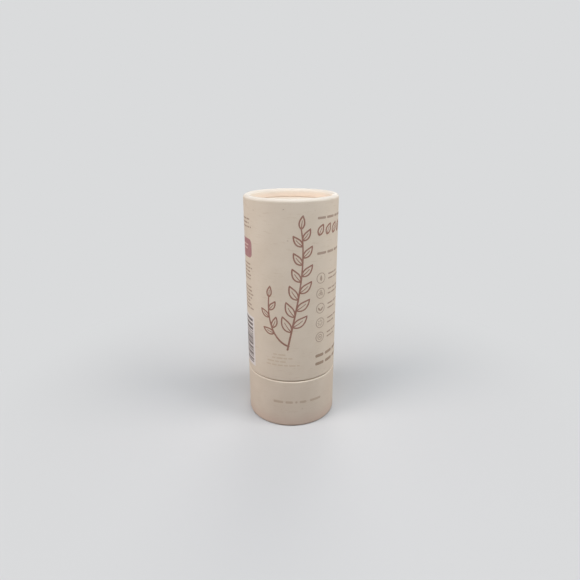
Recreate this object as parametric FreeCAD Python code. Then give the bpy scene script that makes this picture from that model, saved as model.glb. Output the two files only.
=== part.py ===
"""A deodorant stick in a round paperboard push-up tube, closed and standing upright.

Millimetres, +Z up, the origin at the centre of the underside, the printed front towards -Y.
Every piece is turned about the Z axis from an outline of (radius, height, corner round).
"""

import FreeCAD
import Part

import math
import os

# The closed tube as it is seen
TUBE_DIAMETER = 46.0
TUBE_HEIGHT = 116.2
SEAM_HEIGHT = 26.3
SEAM_GAP = 0.3
CUT_EDGE_ROUND = 0.4

# The cap, whose top edge is rolled inwards over its end disc
CAP_WALL = 1.5
RIM_WIDTH = 3.3
RIM_DEPTH = 4.2
RIM_ROUND = 1.6
RIM_LEG_ROUND = 0.5
END_DISC_THICKNESS = 1.6
DISC_FIT = 0.1

# The base sleeve, whose bottom edge is rolled inwards and pressed flat as the foot
FOOT_WIDTH = 5.0
FOOT_HEIGHT = 4.0
FOOT_ROUND = 1.1

# The inner tube: glued in the base, and the neck that the cap slides on
INNER_WALL = 1.6
CAP_CLEARANCE = 0.3
GLUE_GAP = 0.1
NECK_REACH = 34.7
NECK_EDGE_ROUND = 0.5

# The push-up: a board disc on a short skirt, which waits on the foot
PUSH_CLEARANCE = 0.3
SEAT_GAP = 0.2
SKIRT_WALL = 1.5
SKIRT_HEIGHT = 8.5
PUSH_DISC_THICKNESS = 2.0

# The poured solid product
PRODUCT_CLEARANCE = 0.3
PRODUCT_INSET = 0.6
PRODUCT_DOME = 2.5
PRODUCT_EDGE_ROUND = 1.2

# Radii and heights that follow from the sizes above
TUBE_RADIUS = TUBE_DIAMETER / 2
CAP_BORE = TUBE_RADIUS - CAP_WALL
NECK_RADIUS = CAP_BORE - CAP_CLEARANCE
INNER_BORE = NECK_RADIUS - INNER_WALL
BASE_BORE = NECK_RADIUS + GLUE_GAP
PUSH_RADIUS = INNER_BORE - PUSH_CLEARANCE
PRODUCT_RADIUS = INNER_BORE - PRODUCT_CLEARANCE
CAP_BOTTOM = SEAM_HEIGHT + SEAM_GAP / 2
BASE_TOP = SEAM_HEIGHT - SEAM_GAP / 2
END_DISC_TOP = TUBE_HEIGHT - RIM_DEPTH
NECK_TOP = SEAM_HEIGHT + NECK_REACH
SKIRT_BOTTOM = FOOT_HEIGHT + SEAT_GAP
SKIRT_TOP = SKIRT_BOTTOM + SKIRT_HEIGHT
PUSH_DISC_TOP = SKIRT_TOP + PUSH_DISC_THICKNESS

ORIGIN = FreeCAD.Vector(0, 0, 0)
UP = FreeCAD.Vector(0, 0, 1)
TINY = 1e-6


def fillet_arc(before, corner, after, radius):
    """The start, middle and end of the arc that rounds a corner between two neighbours."""
    to_before = (before - corner).normalize()
    to_after = (after - corner).normalize()
    half_turn = to_before.getAngle(to_after) / 2
    reach = radius / math.tan(half_turn)
    inwards = (to_before + to_after).normalize()
    middle = corner + inwards * (radius / math.sin(half_turn) - radius)
    return corner + to_before * reach, middle, corner + to_after * reach


def outline_edges(corners):
    """Straight edges and tangent arcs round a closed list of (radius, height, round)."""
    points = [FreeCAD.Vector(r, 0, z) for r, z, _ in corners]
    arcs = []
    for i, (_, _, radius) in enumerate(corners):
        if radius > TINY:
            arcs.append(fillet_arc(points[i - 1], points[i], points[(i + 1) % len(points)], radius))
        else:
            arcs.append((points[i], None, points[i]))
    edges = []
    for i, (start, middle, end) in enumerate(arcs):
        if middle is not None:
            edges.append(Part.Arc(start, middle, end).toShape())
        following = arcs[(i + 1) % len(arcs)][0]
        if end.distanceToPoint(following) > TINY:
            edges.append(Part.LineSegment(end, following).toShape())
    return edges


def turned(edges):
    """A solid turned once about the Z axis from a closed outline."""
    return Part.Face(Part.Wire(edges)).revolve(ORIGIN, UP, 360)


def flat_disc(radius, bottom, thickness):
    return Part.makeCylinder(radius, thickness, FreeCAD.Vector(0, 0, bottom))


def cap_tube():
    """The long upper tube: a straight wall, a round rolled rim and the rim's turned-in leg."""
    rim_inside = TUBE_RADIUS - RIM_WIDTH
    rim_round = min(RIM_ROUND, RIM_WIDTH / 2)
    return turned(outline_edges([
        (TUBE_RADIUS, CAP_BOTTOM, CUT_EDGE_ROUND),
        (TUBE_RADIUS, TUBE_HEIGHT, rim_round),
        (rim_inside, TUBE_HEIGHT, rim_round),
        (rim_inside, END_DISC_TOP, RIM_LEG_ROUND),
        (CAP_BORE, END_DISC_TOP, 0),
        (CAP_BORE, CAP_BOTTOM, CUT_EDGE_ROUND),
    ]))


def cap_end_disc():
    """The board disc pressed into the cap, up against the end of the rim's leg."""
    return flat_disc(CAP_BORE - DISC_FIT, END_DISC_TOP - END_DISC_THICKNESS, END_DISC_THICKNESS)


def base_sleeve():
    """The short lower tube, with its foot rolled in far enough to stop the push-up."""
    foot_inside = TUBE_RADIUS - FOOT_WIDTH
    foot_round = min(FOOT_ROUND, FOOT_WIDTH / 2)
    return turned(outline_edges([
        (TUBE_RADIUS, 0, foot_round),
        (TUBE_RADIUS, BASE_TOP, CUT_EDGE_ROUND),
        (BASE_BORE, BASE_TOP, CUT_EDGE_ROUND),
        (BASE_BORE, FOOT_HEIGHT, 0),
        (foot_inside, FOOT_HEIGHT, CUT_EDGE_ROUND),
        (foot_inside, 0, foot_round),
    ]))


def inner_tube():
    """The thin tube that stands on the foot and rises out of the base as the neck."""
    return turned(outline_edges([
        (NECK_RADIUS, FOOT_HEIGHT, 0),
        (NECK_RADIUS, NECK_TOP, NECK_EDGE_ROUND),
        (INNER_BORE, NECK_TOP, NECK_EDGE_ROUND),
        (INNER_BORE, FOOT_HEIGHT, 0),
    ]))


def push_skirt():
    """The short ring that guides the push disc in the inner tube."""
    return turned(outline_edges([
        (PUSH_RADIUS, SKIRT_BOTTOM, CUT_EDGE_ROUND),
        (PUSH_RADIUS, SKIRT_TOP, 0),
        (PUSH_RADIUS - SKIRT_WALL, SKIRT_TOP, 0),
        (PUSH_RADIUS - SKIRT_WALL, SKIRT_BOTTOM, CUT_EDGE_ROUND),
    ]))


def push_disc():
    """The board disc that the thumb pushes, glued on top of the skirt."""
    return flat_disc(PUSH_RADIUS, SKIRT_TOP, PUSH_DISC_THICKNESS)


def dome_height(radius):
    """How far the product's top has risen above its edge, at a distance from the axis."""
    sphere = (PRODUCT_RADIUS ** 2 + PRODUCT_DOME ** 2) / (2 * PRODUCT_DOME)
    return math.sqrt(sphere ** 2 - radius ** 2) - (sphere - PRODUCT_DOME)


def deodorant_stick():
    """The solid product, from the push disc to a low dome just above the neck."""
    edge_height = NECK_TOP - PRODUCT_INSET
    foot_centre = FreeCAD.Vector(0, 0, PUSH_DISC_TOP)
    foot_edge = FreeCAD.Vector(PRODUCT_RADIUS, 0, PUSH_DISC_TOP)
    top_edge = FreeCAD.Vector(PRODUCT_RADIUS, 0, edge_height)
    half_way = FreeCAD.Vector(PRODUCT_RADIUS / 2, 0, edge_height + dome_height(PRODUCT_RADIUS / 2))
    crown = FreeCAD.Vector(0, 0, edge_height + PRODUCT_DOME)
    blank = turned([
        Part.LineSegment(foot_centre, foot_edge).toShape(),
        Part.LineSegment(foot_edge, top_edge).toShape(),
        Part.Arc(top_edge, half_way, crown).toShape(),
        Part.LineSegment(crown, foot_centre).toShape(),
    ])
    rim = [edge for edge in blank.Edges
           if abs(edge.BoundBox.ZMin - edge_height) < TINY and edge.BoundBox.ZLength < TINY]
    return blank.makeFillet(PRODUCT_EDGE_ROUND, rim)


PIECES = {
    "cap_tube": cap_tube,
    "cap_end_disc": cap_end_disc,
    "base_sleeve": base_sleeve,
    "inner_tube": inner_tube,
    "push_skirt": push_skirt,
    "push_disc": push_disc,
    "deodorant_stick": deodorant_stick,
}

os.makedirs("parts", exist_ok=True)
for node, build in PIECES.items():
    shape = build()
    shape.exportStep(f"parts/{node}.step")
    print(f"{node}: valid {shape.isValid()}, {len(shape.Solids)} solid, {shape.Volume / 1000:.2f} cm3,"
          f" z {shape.BoundBox.ZMin:.2f} to {shape.BoundBox.ZMax:.2f},"
          f" radius {shape.BoundBox.XMax:.2f}")
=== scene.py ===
"""The looks of a closed paperboard push-up deodorant stick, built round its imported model.

Metres, +Z up, the printed front towards -Y. Print is drawn flat, in millimetres, with u along the
wall to the right of the front's middle line and v upwards, and is then wrapped onto the tube.
"""

import math
import random

import bpy
from mathutils import Matrix, Vector, noise

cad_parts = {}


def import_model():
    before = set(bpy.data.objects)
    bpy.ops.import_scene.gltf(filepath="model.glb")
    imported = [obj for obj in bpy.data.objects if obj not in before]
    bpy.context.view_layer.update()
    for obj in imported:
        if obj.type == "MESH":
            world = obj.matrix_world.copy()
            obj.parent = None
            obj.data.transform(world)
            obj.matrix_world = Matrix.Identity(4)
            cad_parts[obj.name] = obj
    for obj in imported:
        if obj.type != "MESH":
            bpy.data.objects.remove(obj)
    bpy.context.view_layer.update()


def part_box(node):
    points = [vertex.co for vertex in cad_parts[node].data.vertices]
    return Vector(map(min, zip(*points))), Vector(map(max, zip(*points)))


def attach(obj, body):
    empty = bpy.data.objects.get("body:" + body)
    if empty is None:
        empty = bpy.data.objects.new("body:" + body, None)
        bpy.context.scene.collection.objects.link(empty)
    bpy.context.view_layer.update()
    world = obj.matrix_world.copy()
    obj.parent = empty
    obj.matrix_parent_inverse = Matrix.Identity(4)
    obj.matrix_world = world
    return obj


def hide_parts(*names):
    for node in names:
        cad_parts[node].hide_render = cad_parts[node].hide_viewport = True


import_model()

MM = 0.001


def box_mm(node):
    """A node's outer radius, lowest and highest height, in millimetres."""
    low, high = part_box(node)
    return high[0] / MM, low[2] / MM, high[2] / MM


# Sizes read from the frame, in millimetres
TUBE_RADIUS, CAP_BOTTOM, TUBE_TOP = box_mm("cap_tube")
DISC_RADIUS, DISC_BOTTOM, DISC_TOP = box_mm("cap_end_disc")
_, BASE_BOTTOM, BASE_TOP = box_mm("base_sleeve")
NECK_RADIUS, FOOT_TOP, NECK_TOP = box_mm("inner_tube")
PUSH_RADIUS, SKIRT_BOTTOM, SKIRT_TOP = box_mm("push_skirt")
_, _, PUSH_DISC_TOP = box_mm("push_disc")
PRODUCT_RADIUS, _, PRODUCT_TOP = box_mm("deodorant_stick")

# Sizes that the frame's boxes don't show, the same as in the solids, in millimetres
CAP_WALL = 1.5
CUT_ROUND = 0.4
RIM_WIDTH = 3.3
RIM_ROUND = 1.6
RIM_LEG_ROUND = 0.5
FOOT_WIDTH = 5.0
FOOT_ROUND = 1.1
GLUE_GAP = 0.1
INNER_WALL = 1.6
NECK_ROUND = 0.5
SKIRT_WALL = 1.5
PRODUCT_DOME = 2.5
PRODUCT_ROUND = 1.2

# Small edges that only the looks have: the round of a stamped disc, that of the end disc's lower edge and
# the chamfer at the product's foot, in millimetres
STAMPED_ROUND = 0.3
UNDER_ROUND = 0.2
PRODUCT_CHAMFER = 0.3

# How the paper is worn at the seam: how far the base's top edge is worn down and rounded, how far the
# wrap lies flat past that, the rounding of the cap's bottom edge, how far that has drawn up, and how much
# further at the right, in millimetres
WORN_DOWN = 0.12
WORN_ROUND = 0.6
WORN_FLAT = 0.1
CRISP_ROUND = 0.2
DRAWN_UP = 0.18
DRAWN_ASKEW = 0.08
BASE_EDGE = BASE_TOP - WORN_DOWN

# How high up the base the painted shade at the foot reaches, in millimetres
FOOT_SHADE_REACH = 8.5

# The wound wrap's free edge at the back, in millimetres: how thick it is, how long the wall's ramp up to
# it is and half the width of the step, and then the power that bulges the ramp
LAP_THICKNESS = 0.12
LAP_RAMP = 6.0
LAP_EDGE = 0.05
LAP_BULGE = 0.7

# How uneven the paper is, in millimetres: slow and fine puckers inside the rim, and the waver of the rim
# and of the cut edges of cap, base and neck
SLOW_PUCKERS = 0.012
FINE_PUCKERS = 0.014
RIM_WAVER = 0.015
CAP_EDGE_WAVER = 0.04
BASE_EDGE_WAVER = 0.03
NECK_EDGE_WAVER = 0.02


def rgb(red, green, blue):
    """An sRGB colour of 0 to 255 as Blender's linear RGBA."""
    def linear(c):
        c /= 255
        return c / 12.92 if c <= 0.04045 else ((c + 0.055) / 1.055) ** 2.4
    return (linear(red), linear(green), linear(blue), 1.0)


# Colours
PAPER = rgb(216, 208, 196)
PAPER_DARK = rgb(206, 196, 182)
PAPER_FIBRE = rgb(190, 174, 154)
PAPER_SPECK = rgb(150, 131, 112)
# Painted highlight: the rim's roll and inner side paler, where light from above falls on them
PAPER_RIM_HIGHLIGHT = rgb(228, 220, 209)
# Painted highlight on the base's rounded top edge, below the seam
PAPER_EDGE_HIGHLIGHT = rgb(236, 227, 213)
# Painted warm bounce light on the rim's inner side, strongest near the end disc
PAPER_INSIDE_BOUNCE = rgb(230, 214, 199)
# Painted shade: darker and pinker towards the base's foot
PAPER_FOOT_SHADE = rgb(208, 193, 181)
# The end disc's paper, tinted warmer: partly its own cream, partly painted warm bounce light in the recess
SHEET_BOUNCE_WARMED = rgb(226, 211, 195)
SHEET_DARK_BOUNCE_WARMED = rgb(215, 200, 183)
LINER = rgb(232, 225, 211)
LINER_DARK = rgb(222, 213, 197)
BOARD = rgb(196, 178, 152)
BOARD_DARK = rgb(174, 154, 127)
WAX = rgb(243, 239, 229)
WAX_DARK = rgb(236, 230, 217)
ROSE = rgb(150, 113, 101)
ROSE_LABEL = rgb(167, 125, 130)
TAUPE = rgb(162, 145, 130)
FINE_TAUPE = rgb(168, 151, 139)
FAINT = rgb(193, 179, 163)
GHOST = rgb(203, 190, 173)
BARS = rgb(105, 99, 101)
PALE = rgb(221, 219, 221)
LABEL_PALE = rgb(208, 182, 177)
FLOOR = rgb(206, 207, 208)
FLOOR_BOUNCE_NEAR = rgb(80, 57, 50)
FLOOR_BOUNCE_FAR = rgb(162, 156, 147)
AIR = rgb(218, 219, 220)


# Materials

# The sockets of a Mix node that mixes colours
MIX_SHARE, MIX_FIRST, MIX_SECOND, MIX_RESULT = 0, 6, 7, 2


class Graph:
    """A material's node tree, with short ways to add the nodes used here. Its grain runs round the tube,
    or straight across when it is flat."""

    def __init__(self, name, flat=False):
        self.material = bpy.data.materials.new(name)
        self.material.use_nodes = True
        self.tree = self.material.node_tree
        self.shader = self.tree.nodes["Principled BSDF"]
        where = self.tree.nodes.new("ShaderNodeTexCoord").outputs["Object"]
        x, y, z = self.node("ShaderNodeSeparateXYZ", Vector=where).outputs
        if flat:
            self.along, self.up, self.out = (self.times(side, 1 / MM) for side in (x, y, z))
            return
        squares = self.math("ADD", self.times(x, x), self.times(y, y))
        turn = self.math("ARCTAN2", x, self.times(y, -1.0))
        self.along = self.times(turn, TUBE_RADIUS)
        self.out = self.times(self.math("SQRT", squares), 1 / MM)
        self.up = self.times(z, 1 / MM)

    def node(self, kind, **inputs):
        made = self.tree.nodes.new(kind)
        for name, value in inputs.items():
            self.feed(made.inputs[name.replace("_", " ")], value)
        return made

    def feed(self, socket, value):
        if isinstance(value, bpy.types.NodeSocket):
            self.tree.links.new(value, socket)
        else:
            socket.default_value = value

    def math(self, operation, *values):
        made = self.tree.nodes.new("ShaderNodeMath")
        made.operation = operation
        for socket, value in zip(made.inputs, values):
            self.feed(socket, value)
        return made.outputs[0]

    def times(self, first, second):
        return self.math("MULTIPLY", first, second)

    def place(self, along=1.0, out=1.0, up=1.0):
        """Place in the paper in millimetres: along it, through it and across it, each stretched."""
        x, y, z = self.times(self.along, along), self.times(self.out, out), self.times(self.up, up)
        return self.node("ShaderNodeCombineXYZ", X=x, Y=y, Z=z).outputs[0]

    def noise(self, place, scale=1.0, detail=2.0, roughness=0.5):
        return self.node("ShaderNodeTexNoise", Vector=place, Scale=scale, Detail=detail,
                         Roughness=roughness).outputs[0]

    def rise(self, value, low, high):
        """0 below low and 1 above high, with a smooth rise between."""
        made = self.node("ShaderNodeMapRange", Value=value)
        made.interpolation_type = "SMOOTHSTEP"
        made.inputs["From Min"].default_value = low
        made.inputs["From Max"].default_value = high
        return made.outputs[0]

    def fall(self, value, low, high):
        """1 below low and 0 above high, with a smooth fall between."""
        return self.math("SUBTRACT", 1.0, self.rise(value, low, high))

    def mask(self, value, low, high, share):
        """A rise of no more than share."""
        return self.times(self.rise(value, low, high), share)

    def mix(self, share, first, second):
        made = self.tree.nodes.new("ShaderNodeMix")
        made.data_type = "RGBA"
        self.feed(made.inputs[MIX_SHARE], share)
        self.feed(made.inputs[MIX_FIRST], first)
        self.feed(made.inputs[MIX_SECOND], second)
        return made.outputs[MIX_RESULT]

    def bump(self, height, distance_mm, strength, under=None):
        made = self.node("ShaderNodeBump", Height=height, Strength=strength, Distance=distance_mm * MM)
        if under is not None:
            self.feed(made.inputs["Normal"], under)
        return made.outputs[0]

    def finish(self, colour, normal=None, **settings):
        self.feed(self.shader.inputs["Base Color"], colour)
        if normal is not None:
            self.feed(self.shader.inputs["Normal"], normal)
        for name, value in settings.items():
            self.feed(self.shader.inputs[name.replace("_", " ")], value)
        return self.material


# The surface of uncoated paper
UNCOATED = {"Roughness": 0.82, "Specular_IOR_Level": 0.28}

# Where the wrap's colour changes, in millimetres: how far below its top and how far inside the middle of
# its roll the painted highlight on the rim is full, how far above the disc and below the rim's top the
# painted warm bounce light inside starts and ends its fade, and how far below the base's edge the painted
# highlight band on its rounded top edge is full and starts and ends its fade. COVER is the share of such a
# place's colour that shows.
RIM_CREST = 0.48
RIM_TURN = 0.3
INSIDE_FADE = 1.0
BAND_FULL = 0.25
BAND_FADE = 0.15
BAND_END = 0.05
COVER = 0.8

# Specks: how many cells there are in a millimetre, between which distances from its cell's middle a speck
# fades, between which draws from 0 to 1 a cell comes to have one, and how much of its colour shows
SPECK_CELLS = 0.16
SPECK_REACH = (0.035, 0.075)
SPECK_DRAW = (0.60, 0.65)
SPECK_SHARE = 0.32


def paper_relief(graph):
    """The fine tooth and the faint scuffs of uncoated paper, as a normal."""
    tooth = graph.noise(graph.place(), scale=2.6, detail=4.0, roughness=0.6)
    scuffs = graph.noise(graph.place(along=0.10, out=0.3, up=1.3), detail=3.0)
    fine = graph.bump(tooth, distance_mm=0.035, strength=0.8)
    return graph.bump(scuffs, distance_mm=0.05, strength=0.5, under=fine)


def paper_colour(graph, light, dark, fibre):
    """Cloudy paper with short fibres that lie along the wrap."""
    clouds = graph.noise(graph.place(), scale=0.09, detail=4.0, roughness=0.55)
    grain = graph.noise(graph.place(), scale=1.7, detail=3.0, roughness=0.65)
    strands = graph.noise(graph.place(along=0.22, out=0.5, up=1.9))
    body = graph.mix(graph.mask(clouds, low=0.30, high=0.70, share=0.40), light, dark)
    body = graph.mix(graph.mask(grain, low=0.42, high=0.75, share=0.28), body, dark)
    return graph.mix(graph.mask(strands, low=0.60, high=0.74, share=0.28), body, fibre)


def paper_specks(graph):
    """Rare dark specks, each in the middle of a cell of its own."""
    cells = graph.node("ShaderNodeTexVoronoi", Vector=graph.place(), Scale=SPECK_CELLS, Randomness=1.0)
    near = graph.fall(cells.outputs["Distance"], *SPECK_REACH)
    draw = graph.node("ShaderNodeSeparateXYZ", Vector=cells.outputs["Color"]).outputs[0]
    return graph.times(graph.times(near, graph.rise(draw, *SPECK_DRAW)), SPECK_SHARE)


def wrap_material():
    """The wrap: cream uncoated paper, with a painted highlight over the rim and on the base's rounded top
    edge, painted warm bounce light inside the rim, and painted shade, darker and pinker, down at the foot."""
    graph = Graph("wrap_paper")
    # Painted highlight over the rim's top and down its inner side
    on_top = graph.rise(graph.up, TUBE_TOP - RIM_ROUND, TUBE_TOP - RIM_CREST)
    turned_in = graph.fall(graph.out, TUBE_RADIUS - RIM_WIDTH / 2 - RIM_TURN, TUBE_RADIUS - RIM_ROUND)
    rim_highlight = graph.math("MAXIMUM", on_top, turned_in)
    # Painted warm bounce light inside the rim, fading up from the disc
    deep = graph.fall(graph.up, DISC_TOP + INSIDE_FADE, TUBE_TOP - INSIDE_FADE)
    in_cap = graph.rise(graph.up, BASE_TOP, CAP_BOTTOM)
    inside = graph.times(graph.times(turned_in, deep), in_cap)
    # Painted shade, darker and pinker towards the foot
    foot = graph.fall(graph.up, BASE_BOTTOM, BASE_BOTTOM + FOOT_SHADE_REACH)
    # Painted highlight: a pale band on the base's rounded top edge, clear of its very top
    edge_highlight = graph.math("SUBTRACT", graph.rise(graph.up, BASE_EDGE - WORN_ROUND, BASE_EDGE - BAND_FULL),
                      graph.rise(graph.up, BASE_EDGE - BAND_FADE, BASE_EDGE - BAND_END))
    colour = paper_colour(graph, PAPER, PAPER_DARK, PAPER_FIBRE)
    colour = graph.mix(graph.times(rim_highlight, COVER), colour, PAPER_RIM_HIGHLIGHT)
    colour = graph.mix(graph.times(inside, COVER), colour, PAPER_INSIDE_BOUNCE)
    colour = graph.mix(foot, colour, PAPER_FOOT_SHADE)
    colour = graph.mix(graph.times(edge_highlight, COVER), colour, PAPER_EDGE_HIGHLIGHT)
    colour = graph.mix(paper_specks(graph), colour, PAPER_SPECK)
    return graph.finish(colour, paper_relief(graph), **UNCOATED)


def sheet_material():
    """The flat sheet on the cap's end disc: cream paper, tinted warmer, partly painted warm bounce light
    from the recess.
    """
    graph = Graph("sheet_paper", flat=True)
    colour = paper_colour(graph, SHEET_BOUNCE_WARMED, SHEET_DARK_BOUNCE_WARMED, SHEET_DARK_BOUNCE_WARMED)
    return graph.finish(colour, paper_relief(graph), **UNCOATED)


def liner_material():
    """The smoother, paler paper of the inner tube and of the cap's inside."""
    graph = Graph("liner_paper")
    colour = paper_colour(graph, LINER, LINER_DARK, LINER_DARK)
    return graph.finish(colour, paper_relief(graph), Roughness=0.7, Specular_IOR_Level=0.35)


def board_material(name, flat=False):
    """Plain board in thin layers, wound or stamped from a flat sheet."""
    graph = Graph(name, flat)
    colour = paper_colour(graph, BOARD, BOARD_DARK, BOARD_DARK)
    layers = graph.noise(graph.place(along=0.02, out=7.0, up=0.02), detail=1.0)
    colour = graph.mix(graph.mask(layers, low=0.45, high=0.60, share=0.5), colour, BOARD_DARK)
    normal = graph.bump(layers, distance_mm=0.06, strength=0.5, under=paper_relief(graph))
    return graph.finish(colour, normal, Roughness=0.88, Specular_IOR_Level=0.2)


def ink_material(name, ink, thinning=0.10):
    """Ink soaked into uncoated paper, a little thinner where the tooth stands up and in faint clouds."""
    graph = Graph(name)
    tooth = graph.noise(graph.place(), scale=3.2, detail=3.0, roughness=0.7)
    clouds = graph.noise(graph.place(), scale=0.5)
    thin = graph.math("ADD", graph.mask(tooth, low=0.50, high=0.80, share=thinning),
                      graph.mask(clouds, low=0.35, high=0.75, share=thinning))
    colour = graph.mix(thin, ink, PAPER)
    return graph.finish(colour, paper_relief(graph), Roughness=0.78, Specular_IOR_Level=0.3)


def wax_material():
    """The poured product: a smooth off-white solid that lets a little light in."""
    graph = Graph("solid_product", flat=True)
    clouds = graph.noise(graph.place(), scale=0.16, detail=4.0)
    colour = graph.mix(graph.mask(clouds, low=0.35, high=0.70, share=0.6), WAX, WAX_DARK)
    flow = graph.bump(graph.noise(graph.place(along=0.5), scale=0.35), distance_mm=0.25, strength=0.5)
    pores = graph.noise(graph.place(), scale=1.9, detail=3.0)
    normal = graph.bump(pores, distance_mm=0.04, strength=0.5, under=flow)
    return graph.finish(colour, normal, Roughness=0.42, Specular_IOR_Level=0.45,
                        Subsurface_Weight=0.35, Subsurface_Radius=(1.0, 0.8, 0.6), Subsurface_Scale=0.0015)


# How far from the axis the floor fades into the pale air, and where it starts to throw more light
# back up, from and to, in millimetres
FADE = (34.0, 190.0)
BOUNCE = (45.0, 110.0)


def seen(tree):
    """1 for the rays that show a thing to the eye, in a mirror or through glass, and 0 for its light."""
    path = tree.nodes.new("ShaderNodeLightPath").outputs
    share = path["Is Camera Ray"]
    for name in ("Is Glossy Ray", "Is Transmission Ray"):
        most = tree.nodes.new("ShaderNodeMath")
        most.operation = "MAXIMUM"
        tree.links.new(share, most.inputs[0])
        tree.links.new(path[name], most.inputs[1])
        share = most.outputs[0]
    return share


def floor_material():
    """Pale to the eye, fading into the pale air far off, and throwing little light up close by."""
    graph = Graph("studio_floor")
    looked_at = seen(graph.tree)
    bounce = graph.mix(graph.rise(graph.out, *BOUNCE), FLOOR_BOUNCE_NEAR, FLOOR_BOUNCE_FAR)
    material = graph.finish(graph.mix(looked_at, bounce, FLOOR), Roughness=0.9, Specular_IOR_Level=0.1)
    air = graph.node("ShaderNodeEmission", Color=AIR)
    fade = graph.times(looked_at, graph.rise(graph.out, *FADE))
    blend = graph.tree.nodes.new("ShaderNodeMixShader")
    for socket, value in zip(blend.inputs, (fade, graph.shader.outputs[0], air.outputs[0])):
        graph.feed(socket, value)
    graph.feed(graph.tree.nodes["Material Output"].inputs["Surface"], blend.outputs[0])
    return material


WRAP = wrap_material()
LINER_PAPER = liner_material()
SHEET_PAPER = sheet_material()
PLAIN_BOARD = board_material("plain_board")
STAMPED_BOARD = board_material("stamped_board", flat=True)
PRODUCT = wax_material()
ROSE_INK = ink_material("rose_ink", ROSE)
LABEL_INK = ink_material("rose_label_ink", ROSE_LABEL)
TAUPE_INK = ink_material("taupe_ink", TAUPE)
FINE_INK = ink_material("fine_taupe_ink", FINE_TAUPE)
FAINT_INK = ink_material("faint_taupe_ink", FAINT)
GHOST_INK = ink_material("ghost_ink", GHOST)
BAR_INK = ink_material("bar_ink", BARS)
PALE_INK = ink_material("pale_ink", PALE, thinning=0.05)
LABEL_PALE_INK = ink_material("label_pale_ink", LABEL_PALE, thinning=0.05)


# Turned pieces

# How many columns the turned pieces have round the tube, and how many steps the wrap's fine arcs have
WRAP_COLUMNS = 216
NECK_COLUMNS = 144
DISC_COLUMNS = 96
FINE_ARC_STEPS = 9

# How near to a height a point counts as being on it, in millimetres
NEARLY = 0.01


def rounded_outline(corners, step=4.0, arc_steps=7, margin=0.25):
    """Points round an outline of (radius, height, round, finish), each with the finish number of the
    stretch that follows it. Long stretches get a close point at each end, so that they stay flat. An
    outline that starts and ends on the axis isn't closed along it."""
    count = len(corners)
    places = [Vector((c[0], c[1])) for c in corners]
    arcs = []
    for i, (_, _, radius, _) in enumerate(corners):
        here = places[i]
        if radius == 0:
            arcs.append([here])
            continue
        before = (places[i - 1] - here).normalized()
        after = (places[(i + 1) % count] - here).normalized()
        half = before.angle(after) / 2
        centre = here + (before + after).normalized() * (radius / math.sin(half))
        start = here + before * (radius / math.tan(half)) - centre
        turn = start.angle_signed(here + after * (radius / math.tan(half)) - centre)
        arcs.append([centre + Matrix.Rotation(-turn * k / arc_steps, 2) @ start
                     for k in range(arc_steps + 1)])
    points = []
    for i, arc in enumerate(arcs):
        finish = corners[i][3]
        points += [(p.x, p.y, finish) for p in arc]
        end, following = arc[-1], arcs[(i + 1) % count][0]
        length = (following - end).length
        if length > 4 * margin and max(end.x, following.x) > 0:
            inner = length - 2 * margin
            parts = max(1, math.ceil(inner / step))
            for k in range(parts + 1):
                p = end + (following - end) * ((margin + inner * k / parts) / length)
                points.append((p.x, p.y, finish))
    return points


def even_columns(count):
    return [math.tau * k / count - math.pi for k in range(count)]


def lapped_columns(count):
    """Angles from the front, evenly round the tube, with close ones at the wrap's free edge."""
    edge = LAP_EDGE / TUBE_RADIUS
    even = [a for a in even_columns(count) if abs(a) < math.pi - 4 * edge]
    return [-math.pi + edge, -math.pi + 3 * edge] + even + [math.pi - 3 * edge, math.pi - edge]


def wall_point(angle, radius, height):
    """A place in metres, from an angle from the front and millimetres."""
    return (radius * math.sin(angle) * MM, -radius * math.cos(angle) * MM, height * MM)


def turned_piece(name, outline, columns, materials, shift=None, twist=0.0):
    """A closed mesh turned from an outline in millimetres. shift(angle, radius, height) gives how far a
    point moves out and up, and twist is how far the columns turn for each millimetre of height. A point
    on the axis is one vertex."""
    verts, faces, finishes, index = [], [], [], {}
    for i, angle in enumerate(columns):
        for j, (radius, height, _) in enumerate(outline):
            if radius == 0 and i > 0:
                index[i, j] = index[0, j]
                continue
            out, up = shift(angle, radius, height) if shift else (0.0, 0.0)
            index[i, j] = len(verts)
            verts.append(wall_point(angle + twist * height, radius + out, height + up))
    for i in range(len(columns)):
        for j in range(len(outline)):
            k, m = (i + 1) % len(columns), (j + 1) % len(outline)
            face = list(dict.fromkeys((index[i, j], index[k, j], index[k, m], index[i, m])))
            if len(face) > 2:
                faces.append(face)
                finishes.append(outline[j][2])
    return mesh_piece(name, verts, faces, materials, finishes)


def mesh_piece(name, verts, faces, materials, finishes=None, smooth=True):
    mesh = bpy.data.meshes.new(name)
    mesh.from_pydata(verts, [], faces)
    for material in materials:
        mesh.materials.append(material)
    if finishes:
        mesh.polygons.foreach_set("material_index", finishes)
    mesh.polygons.foreach_set("use_smooth", [smooth] * len(faces))
    mesh.validate()
    mesh.update()
    made = bpy.data.objects.new(name, mesh)
    bpy.context.scene.collection.objects.link(made)
    return made


def ripple(angle, waves, seed):
    """Smooth noise round the tube, from -1 to 1."""
    return noise.noise(Vector((math.sin(angle) * waves, math.cos(angle) * waves, seed)))


def lap_rise(angle):
    """How far the wrap stands out where it laps over itself at the back, in millimetres."""
    if angle <= 0:
        return 0.0
    ramp = LAP_RAMP / TUBE_RADIUS
    return LAP_THICKNESS * max(0.0, 1 - (math.pi - angle) / ramp) ** LAP_BULGE


def outward(radius, edge_round):
    """1 on the outer wall and 0 further in than its edges' round."""
    return max(0.0, min(1.0, (radius - (TUBE_RADIUS - edge_round)) / edge_round))


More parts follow.
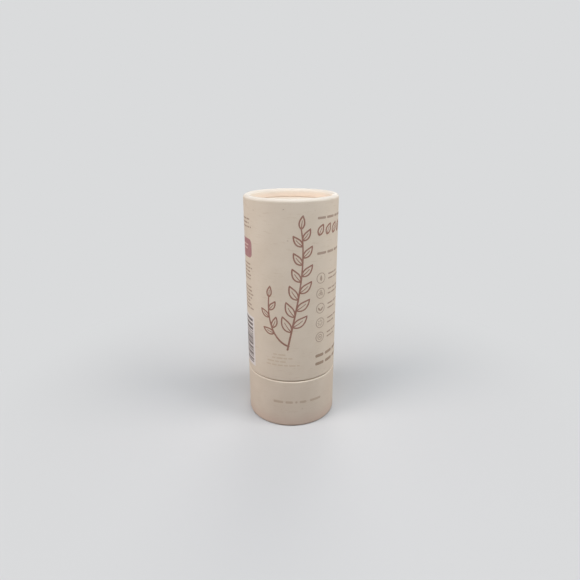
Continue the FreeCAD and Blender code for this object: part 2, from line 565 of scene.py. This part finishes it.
def cap_shift(angle, radius, height):
    """The wrap's lap, the faint puckers where the rim is rolled in, and the slightly uneven cut edge."""
    out, up = lap_rise(angle) * outward(radius, RIM_ROUND), 0.0
    if height > DISC_TOP - NEARLY and radius < TUBE_RADIUS - RIM_WIDTH / 2:
        depth = min(1.0, (TUBE_TOP - height) / RIM_ROUND)
        slow, fine = ripple(angle, waves=9, seed=3.1), ripple(angle, waves=34, seed=7.7)
        out += depth * (SLOW_PUCKERS * slow + FINE_PUCKERS * fine)
    if height < CAP_BOTTOM + DRAWN_UP + CUT_ROUND:
        up = CAP_EDGE_WAVER * ripple(angle, waves=7, seed=5.2) + DRAWN_ASKEW * math.sin(angle)
    elif height > TUBE_TOP - RIM_ROUND:
        up = RIM_WAVER * ripple(angle, waves=3, seed=1.3)
    return out, up


def base_shift(angle, radius, height):
    """The wrap's lap and the slightly uneven top edge."""
    up = BASE_EDGE_WAVER * ripple(angle, waves=6, seed=9.4) if height > BASE_EDGE - WORN_ROUND else 0.0
    return lap_rise(angle) * outward(radius, FOOT_ROUND), up


def cap_wrap():
    """The cap's tube: wrap outside and over the rim, pale liner inside, cut board at the bottom."""
    bore, rim_inside, bottom = TUBE_RADIUS - CAP_WALL, TUBE_RADIUS - RIM_WIDTH, CAP_BOTTOM + DRAWN_UP
    materials = [WRAP, LINER_PAPER, PLAIN_BOARD]
    wrap, liner, board = range(len(materials))
    outline = rounded_outline([
        (TUBE_RADIUS, bottom, CRISP_ROUND, wrap),
        (TUBE_RADIUS, TUBE_TOP, RIM_ROUND, wrap),
        (rim_inside, TUBE_TOP, RIM_ROUND, wrap),
        (rim_inside, DISC_TOP, RIM_LEG_ROUND, wrap),
        (bore, DISC_TOP, 0, liner),
        (bore, bottom, CUT_ROUND, board),
    ], arc_steps=FINE_ARC_STEPS)
    made = turned_piece("cap_wrap", outline, lapped_columns(WRAP_COLUMNS), materials, cap_shift)
    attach(made, "cap")
    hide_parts("cap_tube")


# How far the stamped end disc sags below its edge, and how uneven that is, in millimetres
DISC_DISH = 0.12
DISC_WAVER = 0.02


def disc_shift(angle, radius, _):
    """The stamped disc's dish."""
    share = radius / DISC_RADIUS
    waver = DISC_WAVER * ripple(angle, waves=1.5, seed=2.2) * share * (1 - share)
    return 0.0, waver - DISC_DISH * (1 - share ** 2)


def cap_top_disc():
    """The end disc: flat, with the faint dish and rounded edge of stamped board."""
    outline = rounded_outline([
        (0.0, DISC_BOTTOM, 0, 0),
        (DISC_RADIUS, DISC_BOTTOM, UNDER_ROUND, 0),
        (DISC_RADIUS, DISC_TOP, STAMPED_ROUND, 0),
        (0.0, DISC_TOP, 0, 0),
    ], step=2.0)
    made = turned_piece("cap_top_disc", outline, even_columns(DISC_COLUMNS), [SHEET_PAPER], disc_shift)
    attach(made, "cap")
    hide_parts("cap_end_disc")


def base_wrap():
    """The base's tube, with its foot rolled in and pressed flat."""
    bore, foot_inside = NECK_RADIUS + GLUE_GAP, TUBE_RADIUS - FOOT_WIDTH
    materials = [WRAP, PLAIN_BOARD]
    wrap, board = range(len(materials))
    outline = rounded_outline([
        (TUBE_RADIUS, BASE_BOTTOM, FOOT_ROUND, wrap),
        (TUBE_RADIUS, BASE_EDGE, WORN_ROUND, wrap),
        (TUBE_RADIUS - WORN_ROUND - WORN_FLAT, BASE_EDGE, 0, board),
        (bore, BASE_EDGE, CUT_ROUND, board),
        (bore, FOOT_TOP, 0, board),
        (foot_inside, FOOT_TOP, CUT_ROUND, wrap),
        (foot_inside, BASE_BOTTOM, FOOT_ROUND, wrap),
    ], arc_steps=FINE_ARC_STEPS)
    made = turned_piece("base_wrap", outline, lapped_columns(WRAP_COLUMNS), materials, base_shift)
    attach(made, "tube")
    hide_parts("base_sleeve")


# The inner tube's wound joint, in millimetres: the groove's width, how near its middle a column is at its
# bottom, its depth, and the height of one full turn
JOINT_WIDTH = 0.35
JOINT_MIDDLE = 0.105
JOINT_DEPTH = 0.10
JOINT_PITCH = 62.0


def neck_columns(count):
    """Angles from the front, evenly round the tube, with close ones at the wound joint."""
    half = JOINT_WIDTH / 2 / NECK_RADIUS
    even = [a for a in even_columns(count) if abs(a) > 3 * half]
    joint = [-2 * half, -half, 0.0, half, 2 * half]
    return [a for a in even if a < 0] + joint + [a for a in even if a > 0]


def neck_shift(angle, radius, height):
    """The shallow groove where the liner's edges meet, on both faces of the wall, and the uneven top."""
    groove = JOINT_DEPTH if abs(angle) * NECK_RADIUS < JOINT_MIDDLE else 0.0
    out = -groove if radius > NECK_RADIUS - INNER_WALL / 2 else groove
    up = NECK_EDGE_WAVER * ripple(angle, waves=5, seed=4.4) if height > NECK_TOP - CUT_ROUND else 0.0
    return out, up


def neck():
    """The inner tube, whose paper is wound in a slow spiral."""
    bore = NECK_RADIUS - INNER_WALL
    materials = [LINER_PAPER, PLAIN_BOARD]
    liner, board = range(len(materials))
    outline = rounded_outline([
        (NECK_RADIUS, FOOT_TOP, 0, liner),
        (NECK_RADIUS, NECK_TOP, NECK_ROUND, board),
        (bore, NECK_TOP, NECK_ROUND, liner),
        (bore, FOOT_TOP, 0, board),
    ], step=1.5)
    made = turned_piece("neck", outline, neck_columns(NECK_COLUMNS), materials, neck_shift,
                        twist=math.tau / JOINT_PITCH)
    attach(made, "tube")
    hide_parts("inner_tube")


def push_up():
    """The push disc and its skirt."""
    inside = PUSH_RADIUS - SKIRT_WALL
    skirt = turned_piece("push_up_skirt", rounded_outline([
        (PUSH_RADIUS, SKIRT_BOTTOM, CUT_ROUND, 0),
        (PUSH_RADIUS, SKIRT_TOP, 0, 0),
        (inside, SKIRT_TOP, 0, 0),
        (inside, SKIRT_BOTTOM, CUT_ROUND, 0),
    ]), even_columns(DISC_COLUMNS), [PLAIN_BOARD])
    disc = turned_piece("push_up_disc", rounded_outline([
        (0.0, SKIRT_TOP, 0, 0),
        (PUSH_RADIUS, SKIRT_TOP, STAMPED_ROUND, 0),
        (PUSH_RADIUS, PUSH_DISC_TOP, STAMPED_ROUND, 0),
        (0.0, PUSH_DISC_TOP, 0, 0),
    ], step=2.0), even_columns(DISC_COLUMNS), [STAMPED_BOARD])
    for made, node in ((skirt, "push_skirt"), (disc, "push_disc")):
        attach(made, "stick")
        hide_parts(node)


# How finely the product's side, rim and dome are divided
SIDE_ROWS = 24
RIM_ROWS = 8
DOME_ROWS = 16


def product_outline():
    """Straight side, rounded rim and low dome, from the axis below to the axis above."""
    edge = PRODUCT_TOP - PRODUCT_DOME
    sphere = (PRODUCT_RADIUS ** 2 + PRODUCT_DOME ** 2) / (2 * PRODUCT_DOME)

    def dome(radius):
        return edge + math.sqrt(sphere ** 2 - radius ** 2) - (sphere - PRODUCT_DOME)

    low, high = PUSH_DISC_TOP + PRODUCT_CHAMFER, edge - PRODUCT_ROUND
    points = [(0.0, PUSH_DISC_TOP), (PRODUCT_RADIUS / 2, PUSH_DISC_TOP),
              (PRODUCT_RADIUS - PRODUCT_CHAMFER, PUSH_DISC_TOP)]
    points += [(PRODUCT_RADIUS, low + (high - low) * k / SIDE_ROWS) for k in range(SIDE_ROWS + 1)]
    start = PRODUCT_RADIUS - PRODUCT_ROUND
    rise = dome(start) - high
    for k in range(1, RIM_ROWS):
        turn = math.pi / 2 * k / RIM_ROWS
        points.append((start + PRODUCT_ROUND * math.cos(turn), high + rise * math.sin(turn)))
    for k in range(DOME_ROWS + 1):
        radius = start * (1 - k / DOME_ROWS)
        points.append((radius, dome(radius)))
    return [(radius, height, 0) for radius, height in points]


# The set surface of the product: the swirl's height in millimetres, its arms and its turn in radians, the
# sink's depth in millimetres and its share of the radius, and the height in millimetres and the waves
# for each millimetre of the fine unevenness
SWIRL_HEIGHT = 0.05
SWIRL_ARMS = 2
SWIRL_TURN = 7
SINK_DEPTH = 0.22
SINK_SHARE = 0.22
UNEVEN_HEIGHT = 0.05
UNEVEN_WAVES = 0.25


def product_shift(angle, radius, height):
    """The set surface of a poured product: a faint swirl on the dome and a shallow sink at its middle."""
    if height < PRODUCT_TOP - PRODUCT_DOME - PRODUCT_ROUND:
        return 0.0, 0.0
    share = radius / PRODUCT_RADIUS
    swirl = SWIRL_HEIGHT * math.sin(SWIRL_ARMS * angle + SWIRL_TURN * share) * 4 * share * (1 - share)
    sink = SINK_DEPTH * math.exp(-(share / SINK_SHARE) ** 2)
    uneven = UNEVEN_HEIGHT * ripple(angle, waves=radius * UNEVEN_WAVES, seed=6.0) * (1 - share ** 4)
    return 0.0, swirl - sink + uneven


def product():
    made = turned_piece("product", product_outline(), even_columns(DISC_COLUMNS), [PRODUCT], product_shift)
    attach(made, "stick")
    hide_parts("deodorant_stick")


# Print

# How print lies on the wall, in millimetres: how far it stands out, how deep it is sunk, how much
# further out each next shape stands so that none share a face, after how many shapes that starts again,
# how much further out the layer over it stands, and a block's longest step
INK_PROUD = 0.025
INK_SUNK = 0.12
INK_LIFT = 0.0012
LIFTS = 8
LAYER_LIFT = 0.012
STEP = 0.7

# Where a round pen end and a round corner have their points, in degrees of turn
END_TURNS = (22, 44, 64, 80)
CORNER_TURNS = (8, 26, 45, 65, 90)

# The drawing of filled and open leaves: their steps, the powers that put their widest place a little
# below the middle, the least half width of a filled one and the pen at the end of a midrib, in
# millimetres, and the points of its leaf that a midrib follows
LEAF_STEPS = 10
OPEN_LEAF_STEPS = 14
LEAF_BELLY = 0.85
OPEN_LEAF_BELLY = 0.8
LEAF_TIP = 0.02
RIB_TIP_PEN = 0.3
RIB_POINTS = slice(1, 10)


class Art:
    """Flat shapes in millimetres, each a strip of cross sections, that wrap onto the wall as thin solids.
    A shape printed over another is on a higher layer."""

    def __init__(self, layer=0):
        self.base = INK_PROUD + LAYER_LIFT * layer
        self.points = []
        self.faces = []
        self.shapes = 0

    def strip(self, sections, closed=False):
        """Joins cross sections (u, v, across u, across v, half width) in order."""
        first = len(self.points)
        proud = self.base + INK_LIFT * (self.shapes % LIFTS)
        self.shapes += 1
        for u, v, across_u, across_v, half in sections:
            self.points.append((u + across_u * half, v + across_v * half, proud))
            self.points.append((u - across_u * half, v - across_v * half, proud))
        count = len(sections)
        for i in range(count if closed else count - 1):
            a, b = first + 2 * i, first + 2 * ((i + 1) % count)
            self.faces.append((a, a + 1, b + 1, b))

    def line(self, path, width, end_width=None, closed=False):
        """A pen line along a path of (u, v), with round ends, that may thin towards its end."""
        count = len(path)
        sections = []
        for i, (u, v) in enumerate(path):
            before = path[i - 1] if i or closed else path[i]
            after = path[(i + 1) % count] if i < count - 1 or closed else path[i]
            du, dv = after[0] - before[0], after[1] - before[1]
            length = math.hypot(du, dv)
            share = i / max(1, count - 1)
            half = (width + ((end_width or width) - width) * share) / 2
            sections.append((u, v, -dv / length, du / length, half))
        if not closed:
            sections = self.round_end(sections[0], -1) + sections + self.round_end(sections[-1], 1)
        self.strip(sections, closed)

    def round_end(self, section, way):
        """The cross sections past a pen line's end, or before its start when way is -1."""
        u, v, across_u, across_v, half = section
        ends = []
        for turn in map(math.radians, END_TURNS):
            past, left = half * math.sin(turn) * way, half * math.cos(turn)
            ends.append((u + across_v * past, v - across_u * past, across_u, across_v, left))
        return ends if way > 0 else ends[::-1]

    def block(self, left, right, low, high, corner):
        """A filled rectangle with round corners."""
        middle, half = (low + high) / 2, (high - low) / 2
        corner = min(corner, half, (right - left) / 2)
        left_end = [(left + corner * (1 - math.cos(turn)), half - corner + corner * math.sin(turn))
                    for turn in map(math.radians, CORNER_TURNS)]
        right_end = [(left + right - u, h) for u, h in reversed(left_end)]
        inner = right - left - 2 * corner
        steps = max(1, math.ceil(inner / STEP))
        body = [(left + corner + inner * k / steps, half) for k in range(1, steps)]
        self.strip([(u, middle, 0.0, 1.0, h) for u, h in left_end + body + right_end])

    def ring(self, u, v, radius, width, steps=40):
        turns = [math.tau * k / steps for k in range(steps)]
        path = [(u + radius * math.sin(turn), v + radius * math.cos(turn)) for turn in turns]
        self.line(path, width, closed=True)

    def leaf(self, u, v, heading, length, width):
        """A filled leaf from its foot, pointing along heading (radians from upright, to the right)."""
        along_u, along_v = math.sin(heading), math.cos(heading)
        sections = []
        for k in range(LEAF_STEPS + 1):
            share = k / LEAF_STEPS
            half = max(LEAF_TIP, width / 2 * math.sin(math.pi * share ** LEAF_BELLY))
            sections.append((u + along_u * length * share, v + along_v * length * share,
                             -along_v, along_u, half))
        self.strip(sections)

    def open_leaf(self, u, v, heading, length, bend, pen, rib_pen, fatness=0.21):
        """A leaf drawn in line, with its midrib, that curls by bend as it goes."""
        step = length / OPEN_LEAF_STEPS
        turns = [heading + bend * k / OPEN_LEAF_STEPS for k in range(OPEN_LEAF_STEPS + 1)]
        spine = [(u, v)]
        for turn in turns[1:]:
            last_u, last_v = spine[-1]
            spine.append((last_u + math.sin(turn) * step, last_v + math.cos(turn) * step))
        sides = []
        for side in (-1, 1):
            edge = []
            for k, (spine_u, spine_v) in enumerate(spine):
                share = k / OPEN_LEAF_STEPS
                half = fatness * length * math.sin(math.pi * share ** OPEN_LEAF_BELLY) * side
                edge.append((spine_u + math.cos(turns[k]) * half, spine_v - math.sin(turns[k]) * half))
            sides.append(edge)
        self.line(sides[0] + sides[1][-2:0:-1], pen, closed=True)
        self.line(spine[RIB_POINTS], rib_pen, RIB_TIP_PEN)

    def piece(self, name, body, material, slot):
        """Wraps the shapes onto the tube as closed thin solids, sunk a little into the wall."""
        count = len(self.points)
        verts = [wall_point(u / TUBE_RADIUS, TUBE_RADIUS + proud, v) for u, v, proud in self.points]
        verts += [wall_point(u / TUBE_RADIUS, TUBE_RADIUS - INK_SUNK, v) for u, v, _ in self.points]
        faces = []
        edges = {}
        for face in self.faces:
            faces.append(face)
            faces.append(tuple(p + count for p in reversed(face)))
            for a, b in zip(face, face[1:] + face[:1]):
                edges[a, b] = True
        for a, b in edges:
            if (b, a) not in edges:
                faces.append((b, a, a + count, b + count))
        made = mesh_piece(name, verts, faces, [material], smooth=False)
        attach(made, body)


def bezier(p0, p1, p2, p3, steps):
    """Points along a cubic curve."""
    sides = list(zip(p0, p1, p2, p3))
    points = []
    for k in range(steps + 1):
        t = k / steps
        weights = ((1 - t) ** 3, 3 * t * (1 - t) ** 2, 3 * t * t * (1 - t), t ** 3)
        points.append(tuple(sum(w * p for w, p in zip(weights, side)) for side in sides))
    return points


# The forked sprig on the front: the curves of its tall and its short branch, and its pens, in millimetres
TALL_BRANCH = ((-2.0, 44.0), (1.5, 62.0), (7.5, 84.0), (4.4, 103.0))
SHORT_BRANCH = ((-1.5, 45.8), (-8.0, 48.0), (-12.6, 57.0), (-11.2, 70.5))
STEM_PEN = 0.95
STEM_TIP_PEN = 0.65
LEAF_PEN = 0.70
RIB_PEN = 0.50

# How its leaves stand: where in its stretch of stem a pair has its middle and how far from that each of
# its leaves is, as shares of the stretch, how far a leaf is turned from the stem and curls back, the
# heading and the curl of the leaf at the tip, in radians, and the steps of a stem
PAIR_MIDDLE = 0.25
PAIR_STAGGER = 0.18
LEAF_SPLAY = math.radians(56)
LEAF_CURL = 0.5
TIP_HEADING = 0.08
TIP_CURL = 0.1
STEM_STEPS = 90


def branch(art, curve, pairs, bare, foot_leaf, tip_leaf):
    """A stem with leaves in pairs past its bare share, longest at the foot, and one leaf at its tip."""
    stem = bezier(*curve, STEM_STEPS)
    art.line(stem, STEM_PEN, STEM_TIP_PEN)
    for i in range(pairs):
        for side in (-1, 1):
            share = bare + (1 - bare) * (i + PAIR_MIDDLE + PAIR_STAGGER * side) / pairs
            at = int(share * STEM_STEPS)
            ahead, behind = stem[min(at + 1, STEM_STEPS)], stem[at - 1]
            heading = math.atan2(ahead[0] - behind[0], ahead[1] - behind[1]) + side * LEAF_SPLAY
            length = foot_leaf + (tip_leaf - foot_leaf) * share
            art.open_leaf(*stem[at], heading, length, -side * LEAF_CURL, LEAF_PEN, RIB_PEN)
    art.open_leaf(*stem[-1], TIP_HEADING, tip_leaf, TIP_CURL, LEAF_PEN, RIB_PEN)


def sprig():
    """A plain line-drawn sprig up the front, with a tall branch and a short one."""
    art = Art()
    branch(art, TALL_BRANCH, pairs=6, bare=0.16, foot_leaf=9.8, tip_leaf=6.0)
    branch(art, SHORT_BRANCH, pairs=2, bare=0.42, foot_leaf=7.0, tip_leaf=5.4)
    art.piece("print_sprig", "cap", ROSE_INK, "rose_ink")


# The bars of a row: their gap and their corners' round as shares of the row's height, and the shortest
# as a share of the longest
BAR_GAP = 0.75
BAR_CORNER = 0.4
SHORTEST_BAR = 0.3


def bar_row(art, rng, left, right, middle, height, longest):
    """A row of short bars of uneven length between two sides."""
    u = left
    while u < right - height:
        end = min(u + rng.uniform(SHORTEST_BAR, 1.0) * longest + height, right)
        if right - end < height:
            end = right
        art.block(u, end, middle - height / 2, middle + height / 2, height * BAR_CORNER)
        u = end + height * BAR_GAP


# Between which places the print at the right and at the left of the front lies, in millimetres
RIGHT_START = 12.4
RIGHT_END = 37.0
LEFT_END = -21.6
LEFT_START = -42.0

# The row of bold leaves: how many, where the first one's foot is, and their pitch, in millimetres
ROW_LEAVES = 5
ROW_START = RIGHT_START + 0.9
ROW_FOOT = 99.6
ROW_PITCH = 4.9


def leaf_row():
    """A row of bold leaves high up on the right."""
    art = Art()
    for k in range(ROW_LEAVES):
        art.open_leaf(ROW_START + ROW_PITCH * k, ROW_FOOT, heading=0.35, length=5.3, bend=0.25,
                      pen=0.76, rib_pen=0.40, fatness=0.28)
    art.piece("print_leaf_row", "cap", ROSE_INK, "rose_ink")


# The other rows at the right: where each ends and its middle height, in millimetres, and how tall it is
BOLD_ROWS = ((RIGHT_END, 38.6, 1.6), (RIGHT_END - 2, 34.2, 1.6))
TOP_ROWS = ((RIGHT_END - 3, 107.4, 1.1), (RIGHT_END - 6, 91.1, 1.2))


def right_rows():
    """The rows to the right of the sprig, as plain bars: two bold ones below and two above."""
    rng = random.Random(11)
    bold, top = Art(), Art()
    for right, middle, height in BOLD_ROWS:
        bar_row(bold, rng, RIGHT_START, right, middle, height, longest=6.0)
    bold.piece("print_bold_rows", "cap", TAUPE_INK, "taupe_ink")
    for right, middle, height in TOP_ROWS:
        bar_row(top, rng, RIGHT_START, right, middle, height, longest=5.0)
    top.piece("print_top_rows", "cap", FINE_INK, "taupe_ink")


# The five round signs, in millimetres, and the two rows of small print beside each
SIGNS = 5
SIGN_U = 15.0
SIGN_TOP = 79.0
SIGN_PITCH = 7.6
SIGN_RADIUS = 2.5
SIGN_PEN = 0.34
SIGN_ROW_START = SIGN_U + 5.0
SIGN_ROW_OFF = 1.15
SMALL_HEIGHT = 0.75


def sign_rows():
    """Two short rows beside each sign, the upper one often longer."""
    rng = random.Random(23)
    art = Art()
    for i in range(SIGNS):
        v = SIGN_TOP - SIGN_PITCH * i
        for middle, least, most in ((v + SIGN_ROW_OFF, 2, 9), (v - SIGN_ROW_OFF, 4, 12)):
            right = RIGHT_END - rng.uniform(least, most)
            bar_row(art, rng, SIGN_ROW_START, right, middle, SMALL_HEIGHT, longest=5.0)
    art.piece("print_sign_rows", "cap", FINE_INK, "taupe_ink")


def signs():
    """Five rings, each round a simple figure: a leaf, three berries, a shoot, a sun and a target."""
    art = Art()
    places = [(SIGN_U, SIGN_TOP - SIGN_PITCH * i) for i in range(SIGNS)]
    for u, v in places:
        art.ring(u, v, SIGN_RADIUS, SIGN_PEN)
    leaf, berries, shoot, sun, target = places
    art.leaf(leaf[0], leaf[1] - 1.5, heading=0.0, length=3.0, width=1.3)
    for turn in (0, math.tau / 3, 2 * math.tau / 3):
        berry = berries[0] + 0.85 * math.sin(turn), berries[1] + 0.85 * math.cos(turn)
        art.ring(*berry, radius=0.55, width=0.3, steps=18)
    for heading in (-0.7, 0.7):
        art.leaf(shoot[0], shoot[1] - 1.4, heading, length=2.7, width=1.0)
    for k in range(8):
        turn = math.tau * k / 8
        ray = [(sun[0] + r * math.sin(turn), sun[1] + r * math.cos(turn)) for r in (0.8, 1.2, 1.6)]
        art.line(ray, width=0.3)
    art.ring(*target, radius=1.3, width=0.32, steps=26)
    art.block(target[0] - 0.5, target[0] + 0.5, target[1] - 0.45, target[1] + 0.45, corner=0.45)
    art.piece("print_signs", "cap", FINE_INK, "taupe_ink")


# The blocks of small rows at the left: the height of each one's top row and how many it has, and their
# pitch, in millimetres
LEFT_BLOCKS = ((105.8, 3), (84.0, 5), (72.4, 7))
LEFT_PITCH = 1.85


def left_rows():
    """Blocks of small rows to the left of the sprig."""
    rng = random.Random(5)
    art = Art()
    for top, count in LEFT_BLOCKS:
        for k in range(count):
            right = LEFT_END - rng.uniform(0.0, 2.5)
            bar_row(art, rng, LEFT_START, right, top - LEFT_PITCH * k, SMALL_HEIGHT, longest=4.5)
    art.piece("print_small_rows", "cap", FINE_INK, "taupe_ink")


# The rose label: its left and right side, its bottom and top, and its bars' left and right side and
# bottom, in millimetres
LABEL = (LEFT_END - 15.0, LEFT_END - 0.2, 87.3, 96.4)
LABEL_BARS = ((LEFT_END - 11.5, LEFT_END - 3.4, 93.0), (LEFT_END - 10.2, LEFT_END - 4.4, 91.2))
LABEL_BAR_HEIGHT = 0.7


def rose_label():
    """A rose field with round corners and two short pale bars."""
    label = Art()
    label.block(*LABEL, corner=2.4)
    label.piece("print_rose_label", "cap", LABEL_INK, "rose_ink")
    bars = Art(layer=1)
    for left, right, low in LABEL_BARS:
        bars.block(left, right, low, low + LABEL_BAR_HEIGHT, corner=0.3)
    bars.piece("print_label_bars", "cap", LABEL_PALE_INK, "pale_ink")


# The pale patch: its left and right side, its bottom and top, the left and right side of its bars, where
# the first bar is and the last may be, and the heights and gaps to draw from, in millimetres
PATCH = (LEFT_START - 1.0, LEFT_END + 0.1, 30.0, 57.0)
PATCH_BARS = (LEFT_START + 0.8, LEFT_END - 1.4)
FIRST_BAR = 31.6
LAST_BAR = 55.0
PATCH_HEIGHTS = [0.5, 0.7, 1.0, 1.3]
PATCH_GAPS = [0.5, 0.5, 0.8, 1.0]


def plain_bars():
    """A pale patch with uneven bars across it, which code for nothing."""
    rng = random.Random(3)
    patch = Art()
    patch.block(*PATCH, corner=0.3)
    patch.piece("print_pale_patch", "cap", PALE_INK, "pale_ink")
    bars = Art(layer=1)
    v = FIRST_BAR
    while v < LAST_BAR:
        height = rng.choice(PATCH_HEIGHTS)
        bars.block(*PATCH_BARS, v, v + height, corner=0.02)
        v += height + rng.choice(PATCH_GAPS)
    bars.piece("print_plain_bars", "cap", BAR_INK, "taupe_ink")


# The faint rows low on the cap: left and right side and middle height, in millimetres
GHOST_ROWS = ((-9.4, -3.0, 41.0), (-10.0, 0.4, 39.1), (-12.6, -1.8, 37.2), (-13.2, 4.0, 35.2))


def ghost_rows():
    """Four rows low on the cap, printed in a tint that is hardly darker than the paper."""
    rng = random.Random(8)
    art = Art()
    for left, right, middle in GHOST_ROWS:
        bar_row(art, rng, left, right, middle, height=0.7, longest=3.0)
    art.piece("print_ghost_rows", "cap", GHOST_INK, "taupe_ink")


# The row on the base: the sides of its bars, and its bottom and top, in millimetres
BASE_BARS = ((-9.6, -4.4), (-3.2, 0.6), (1.8, 2.9), (4.1, 7.6), (9.6, 16.2))
BASE_ROW = (13.6, 14.9)


def base_row():
    """One faint row round the front of the base."""
    art = Art()
    for left, right in BASE_BARS:
        art.block(left, right, *BASE_ROW, corner=0.5)
    art.piece("print_base_row", "tube", FAINT_INK, "taupe_ink")


# Flecks in the wrap: place in millimetres, heading in radians and length in millimetres
FLECKS = (
    (-3.9, 111.6, 1.2, 0.75),
    (30.5, 60.3, 0.4, 0.7),
    (-52.0, 92.2, 1.0, 0.8),
    (61.0, 40.8, 2.0, 0.7),
    (66.4, 101.7, 0.7, 0.9),
    (-64.8, 55.1, 1.6, 0.8),
)


def wrap_flecks():
    """Short dark fibres in the wrap, one of them near the top of the front."""
    art = Art()
    for u, v, heading, length in FLECKS:
        art.leaf(u, v, heading, length, width=0.34)
    art.piece("wrap_flecks", "cap", FINE_INK, "taupe_ink")


# Stage, light and camera

# Half the floor's side, in metres
FLOOR_HALF = 12.0


def studio_floor():
    ways = ((-1, -1), (1, -1), (1, 1), (-1, 1))
    verts = [(x * FLOOR_HALF, y * FLOOR_HALF, 0.0) for x, y in ways]
    mesh_piece("studio_floor", verts, [(0, 1, 2, 3)], [floor_material()])


# Lamps: name, place and diameter in metres, power in watts, and colour
LAMPS = (
    ("near_top", (0.0, -0.17, 0.62), 0.45, 2.12, (0.765, 0.886, 1.0)),
    ("left_window", (-1.3, -0.65, 0.75), 1.0, 17.1, (1.0, 0.892, 0.826)),
    ("right_fill", (1.3, -0.40, 0.70), 1.0, 14.5, (1.0, 0.935, 0.888)),
    ("back_fill", (0.2, 1.4, 0.60), 1.0, 8.0, (1.0, 0.965, 0.93)),
)

# The even light of the room
ROOM = (0.090, 0.080, 0.072, 1.0)


def lights():
    for name, place, size, power, colour in LAMPS:
        lamp = bpy.data.lights.new(name, "AREA")
        lamp.shape = "DISK"
        lamp.size = size
        lamp.energy = power
        lamp.color = colour
        made = bpy.data.objects.new(name, lamp)
        made.location = place
        aim = Vector((0.0, 0.0, TUBE_TOP / 2 * MM))
        made.rotation_euler = (aim - Vector(place)).to_track_quat("-Z", "Y").to_euler()
        bpy.context.scene.collection.objects.link(made)


def world():
    """Even soft light from all round, behind which the eye sees pale air."""
    made = bpy.data.worlds.new("room")
    bpy.context.scene.world = made
    made.use_nodes = True
    tree = made.node_tree
    mix = tree.nodes.new("ShaderNodeMix")
    mix.data_type = "RGBA"
    tree.links.new(seen(tree), mix.inputs[MIX_SHARE])
    mix.inputs[MIX_FIRST].default_value = ROOM
    mix.inputs[MIX_SECOND].default_value = AIR
    tree.links.new(mix.outputs[MIX_RESULT], tree.nodes["Background"].inputs["Color"])


# The camera of the photograph: place in tube radii, turns in degrees, focal length and image in pixels,
# sensor in millimetres, and the nearest that it sees in metres
CAMERA_PLACE = (-0.066, -9.31, 6.135)
CAMERA_YAW = 0.24
CAMERA_PITCH = 19.14
CAMERA_ROLL = -0.19
FOCAL_PIXELS = 437.4
IMAGE_PIXELS = 580
SENSOR_WIDTH = 36.0
NEAREST = 0.01


def camera():
    yaw, pitch, roll = (math.radians(a) for a in (CAMERA_YAW, CAMERA_PITCH, CAMERA_ROLL))
    ahead = Vector((math.sin(yaw) * math.cos(pitch), math.cos(yaw) * math.cos(pitch), -math.sin(pitch)))
    level = Vector((math.cos(yaw), -math.sin(yaw), 0.0))
    above = level.cross(ahead)
    right = level * math.cos(roll) + above * math.sin(roll)
    up = above * math.cos(roll) - level * math.sin(roll)
    data = bpy.data.cameras.new("camera")
    data.sensor_width = SENSOR_WIDTH
    data.lens = FOCAL_PIXELS / IMAGE_PIXELS * SENSOR_WIDTH
    data.clip_start = NEAREST
    made = bpy.data.objects.new("camera", data)
    place = Vector(CAMERA_PLACE) * TUBE_RADIUS * MM
    made.matrix_world = Matrix.Translation(place) @ Matrix((right, up, -ahead)).transposed().to_4x4()
    bpy.context.scene.collection.objects.link(made)
    bpy.context.scene.camera = made


cap_wrap()
cap_top_disc()
base_wrap()
neck()
push_up()
product()
sprig()
leaf_row()
right_rows()
signs()
sign_rows()
left_rows()
rose_label()
plain_bars()
ghost_rows()
base_row()
wrap_flecks()
studio_floor()
lights()
world()
camera()
bpy.context.scene.view_settings.view_transform = "Standard"
